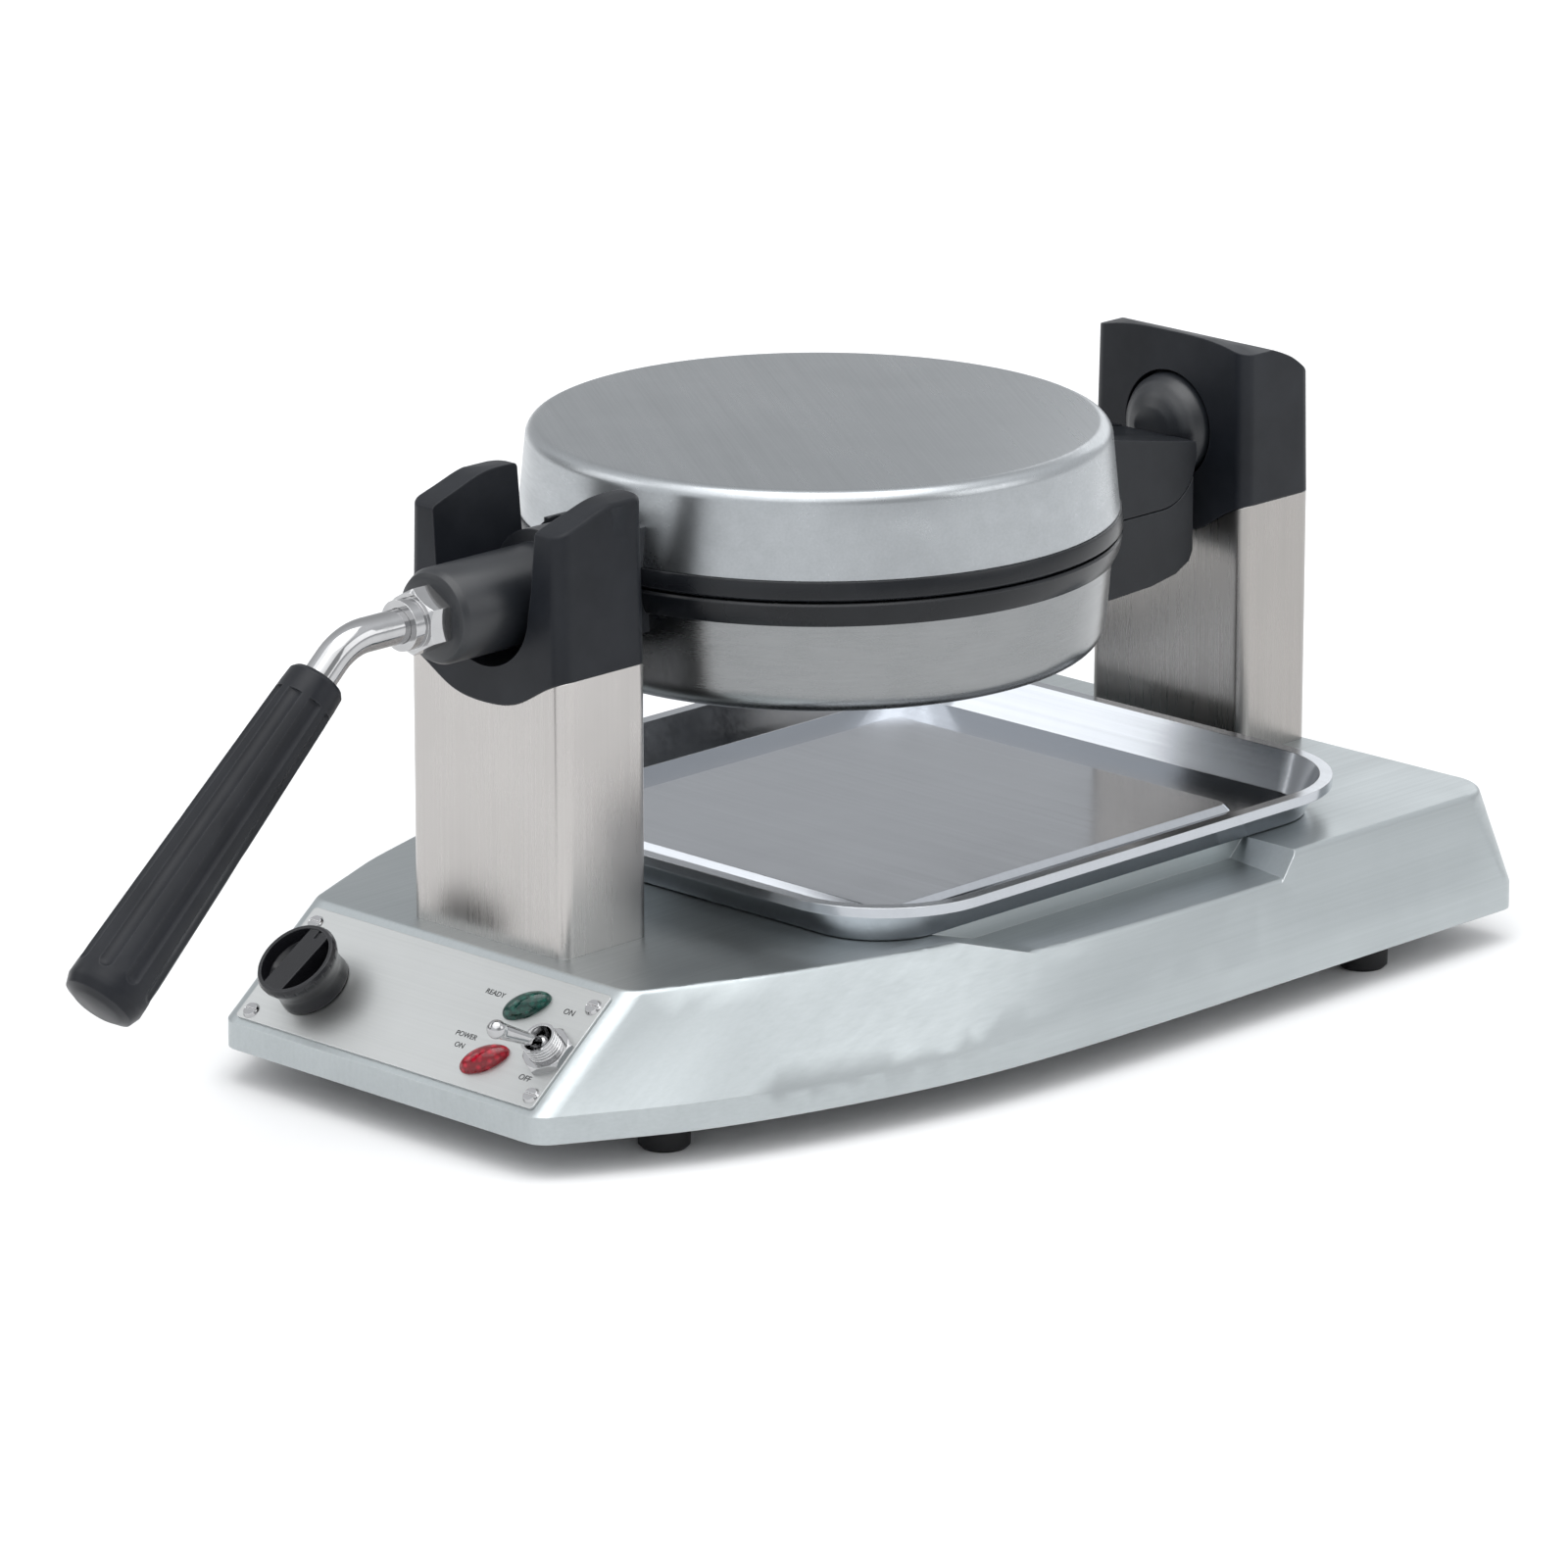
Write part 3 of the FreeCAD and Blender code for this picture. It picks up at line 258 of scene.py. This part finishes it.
pieces = {
    "base": ["base_shell"],
    "panel": ["control_panel"],
    "post": ["front_sleeve"],
    "post_rear_painted_shade": ["rear_sleeve"],
    "lid": ["lid_shell"],
    "drum": ["lower_shell"],
    "tray": ["drip_tray"],
    "zinc": ["base_pan", "front_strut", "rear_strut", "upper_reflector", "lower_reflector", "trunnion_collar"],
    "black": ["front_cap", "rear_cap"],
    "grip": ["handle_grip"],
    "knob": ["knob"],
    "ring": ["upper_ring", "lower_ring"],
    "arm": ["front_rest", "lid_hinge_arm", "hinge_carrier"],
    "hub": ["front_hub", "rear_trunnion"],
    "coated": ["upper_plate", "lower_plate", "upper_grid", "lower_grid"],
    "rubber": ["foot_front_left", "foot_front_right", "foot_rear_left", "foot_rear_right"],
    "nylon": ["cord_inlet", "toggle_body", "terminal_block", "thermostat_body", "thermal_cutout",
              "lamp_socket_green", "lamp_socket_red"],
    "chrome": ["handle_tube", "handle_nut", "toggle_bushing", "toggle_nut", "toggle_lever",
               "panel_screw_1", "panel_screw_2", "panel_screw_3", "panel_screw_4"],
    "ground": ["hinge_pin", "knob_shaft"],
    "bronze": ["rear_bushing", "front_saddle"],
    "sheath": ["upper_element", "lower_element"],
    "green": ["lamp_green"],
    "red": ["lamp_red"],
}
WELD_DISTANCE = 0.000004
SHARP_ANGLE = math.radians(28)

for key, names in pieces.items():
    for name in names:
        piece = nodes[name]
        piece.data.materials.clear()
        piece.data.materials.append(materials[key])
        piece.data.polygons.foreach_set("use_smooth", [True] * len(piece.data.polygons))
        weld = piece.modifiers.new("weld", "WELD")
        weld.merge_threshold = WELD_DISTANCE
        split = piece.modifiers.new("sharp", "EDGE_SPLIT")
        split.split_angle = SHARP_ANGLE

# ------------------------------------------------------------------ small printed words on the sloping panel
PANEL_RISE = 32.5  # mm, from its lower edge to its upper edge
PANEL_RUN = 40.5  # mm, the same seen from above
PANEL_AHEAD = 0.161  # m, upper edge in front of the drum's centre line
PANEL_HEIGHT = 0.0535  # m, upper edge above the table
INK_LIFT = 0.00094  # m, plate face above the shell, plus a hair
INK_THICKNESS = 0.00003  # m

tilt = math.atan2(PANEL_RISE, PANEL_RUN)
up_slope = Vector((0.0, math.cos(tilt), math.sin(tilt)))
outward = Vector((0.0, -math.sin(tilt), math.cos(tilt)))
top_edge = Vector((0.0, DRUM_Y - PANEL_AHEAD, PANEL_HEIGHT))


def word(name, text, across, down, height):
    """A printed word, with its middle across and down (mm) from the middle of the panel's upper edge."""
    curve = bpy.data.curves.new(name, "FONT")
    curve.body = text
    curve.size = height / 1000.0
    curve.extrude = INK_THICKNESS
    curve.resolution_u = 3
    curve.align_x = "CENTER"
    curve.align_y = "CENTER"
    source = bpy.data.objects.new(name + "_curve", curve)
    scene.collection.objects.link(source)
    bpy.context.view_layer.update()
    shape = bpy.data.meshes.new_from_object(source.evaluated_get(bpy.context.evaluated_depsgraph_get()))
    bpy.data.objects.remove(source)
    shape.materials.clear()
    shape.materials.append(materials["ink"])
    obj = bpy.data.objects.new(name, shape)
    middle = top_edge + Vector((across / 1000.0, 0.0, 0.0)) - up_slope * (down / 1000.0) + outward * INK_LIFT
    turned = Matrix((Vector((1.0, 0.0, 0.0)), up_slope, outward)).transposed().to_4x4()
    obj.matrix_world = Matrix.Translation(middle) @ turned
    scene.collection.objects.link(obj)
    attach(obj, "base")


word("mark_on", "ON", 57.0, 13.5, 3.0)
word("mark_off", "OFF", 58.0, 40.0, 3.0)
word("mark_ready", "READY", 24.5, 14.6, 2.7)
word("mark_power", "POWER", 25.0, 31.8, 2.7)
word("mark_power_on", "ON", 25.0, 35.8, 2.7)

# ------------------------------------------------------------------ floor
FLOOR_HALF = 30

floor_mesh = bpy.data.meshes.new("floor")
corners = [(x * FLOOR_HALF, y * FLOOR_HALF, 0) for x, y in ((-1, -1), (1, -1), (1, 1), (-1, 1))]
floor_mesh.from_pydata(corners, [], [(0, 1, 2, 3)])
floor = bpy.data.objects.new("floor", floor_mesh)
scene.collection.objects.link(floor)
floor_material, graph, shader = surface("floor_pale")
cloud = graph.noise(graph.object_space(), 3.0)
finish_shader(graph, shader,
              Base_Color=graph.mix(cloud, rgba((0.80, 0.80, 0.80)), rgba((0.82, 0.82, 0.82))),
              Roughness=0.75,
              Specular_IOR_Level=0.1)
floor_mesh.materials.append(floor_material)

# ------------------------------------------------------------------ studio: a pale room with four darker zones
# each zone: its direction, the cosines where it starts and is full, and the level left in its middle
ZONES = [
    ((-0.66, 0.69, 0.28), 0.45, 0.97, 0.56),
    ((-0.90, -0.42, 0.05), 0.82, 0.97, 0.34),
    ((0.70, 0.71, 0.05), 0.75, 0.97, 0.68),
    ((0.92, -0.14, 0.37), 0.78, 0.97, 0.46),
]
ROOM_COLOR = (0.955, 0.975, 1.0)
ROOM_STRENGTH = 1.02

world = bpy.data.worlds.new("studio")
scene.world = world
graph = Graph(world)
look = graph.add("ShaderNodeTexCoord").outputs["Generated"]
level = ROOM_STRENGTH
for direction, start, full, left in ZONES:
    zone = graph.ramp(graph.vector("DOT_PRODUCT", look, direction), start, full, 1.0, left)
    level = graph.math("MULTIPLY", level, zone)
room = graph.add("ShaderNodeBackground", {"Color": rgba(ROOM_COLOR), "Strength": level})
graph.add("ShaderNodeOutputWorld", {"Surface": room.outputs[0]})


def soft_light(name, place, toward, size, power, tint=(1.0, 1.0, 1.0)):
    """A rectangular soft box at place (m) that faces the point toward; size in m, power in W."""
    data = bpy.data.lights.new(name, "AREA")
    data.shape = "RECTANGLE"
    data.size, data.size_y = size
    data.energy = power
    data.color = tint
    light = bpy.data.objects.new(name, data)
    light.location = place
    light.rotation_mode = "QUATERNION"
    light.rotation_quaternion = (Vector(toward) - Vector(place)).to_track_quat("-Z", "Y")
    scene.collection.objects.link(light)


soft_light("key_top", (0.3, -0.2, 2.0), (0.0, 0.05, 0.1), (1.6, 1.6), 12)
soft_light("side_right", (1.8, 0.80, 0.95), (0.0, 0.05, 0.1), (1.2, 1.0), 4.6)
soft_light("card_rear", (-0.44, 1.355, 0.60), (0.1, 0.1, 0.1), (0.80, 0.7), 1.7, (0.97, 0.985, 1.0))
soft_light("side_left", (-1.6, -1.2, 1.2), (0.0, 0.05, 0.12), (0.9, 1.2), 4)

overhead = bpy.data.lights.new("overhead", "SUN")
overhead.energy = 1.25
overhead.angle = math.radians(80)
sun = bpy.data.objects.new("overhead", overhead)
sun.rotation_euler = (math.radians(18), math.radians(14), 0.0)
scene.collection.objects.link(sun)

# ------------------------------------------------------------------ camera: a long lens at the front right
AZIMUTH = math.radians(44.2126)
ELEVATION = math.radians(16.4035)
LENS = 205.0391  # mm
SENSOR = 36.0  # mm
DISTANCE = 2.93856  # m
SHIFT_RIGHT = -0.011519  # m
SHIFT_UP = -0.075971  # m
AIM_HEIGHT = 0.152  # m

away = Vector((math.sin(AZIMUTH) * math.cos(ELEVATION), -math.cos(AZIMUTH) * math.cos(ELEVATION),
               math.sin(ELEVATION)))
right = Vector((math.cos(AZIMUTH), math.sin(AZIMUTH), 0.0))
up = away.cross(right)
camera_data = bpy.data.cameras.new("camera")
camera_data.sensor_width = SENSOR
camera_data.lens = LENS
camera_data.clip_start, camera_data.clip_end = 0.05, 100.0
camera = bpy.data.objects.new("camera", camera_data)
camera.location = Vector((0.0, DRUM_Y, AIM_HEIGHT)) + away * DISTANCE + right * SHIFT_RIGHT + up * SHIFT_UP
camera.rotation_mode = "QUATERNION"
camera.rotation_quaternion = Matrix((right, up, away)).transposed().to_quaternion()
scene.collection.objects.link(camera)
scene.camera = camera
scene.view_settings.view_transform = "Standard"
